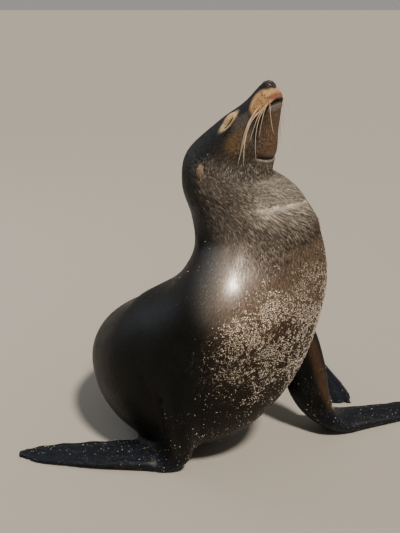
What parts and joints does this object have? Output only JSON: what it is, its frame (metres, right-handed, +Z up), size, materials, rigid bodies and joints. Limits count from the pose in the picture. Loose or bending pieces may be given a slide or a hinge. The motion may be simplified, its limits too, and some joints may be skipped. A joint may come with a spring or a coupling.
{
  "type": "sea lion",
  "caption": "Young sea lion sitting up on its fore flippers, nose raised and eyes shut, as a life-size still model.",
  "frame": {"origin": "middle of the flat on which the belly rests, at floor height", "axes": "+Z up; +Y towards the hindquarters; +X towards the animal's left, where the chest and head are turned"},
  "size_m": [0.9698, 0.7641, 0.7536],
  "materials": {
    "coat": "short wet fur, dark brown to black, lighter on muzzle and throat",
    "flipper_skin": "bare blue-black skin, damp and softly glossy",
    "eyelid_fur": "thin pale tan fur",
    "nose_skin": "bare black skin, wet and glossy"
  },
  "bodies": {
    "root": {"pelvis": "coat", "abdomen": "coat", "chest": "coat", "neck": "coat", "head": "coat", "lower_jaw": "coat", "left_ear": "coat", "right_ear": "coat", "tail": "flipper_skin", "left_fore_limb": "flipper_skin", "left_fore_flipper": "flipper_skin", "left_hind_limb": "flipper_skin", "left_hind_flipper": "flipper_skin", "right_fore_limb": "flipper_skin", "right_fore_flipper": "flipper_skin", "right_hind_limb": "flipper_skin", "right_hind_flipper": "flipper_skin", "left_eyelid": "eyelid_fur", "right_eyelid": "eyelid_fur", "nose_pad": "nose_skin"}
  },
  "joints": []
}
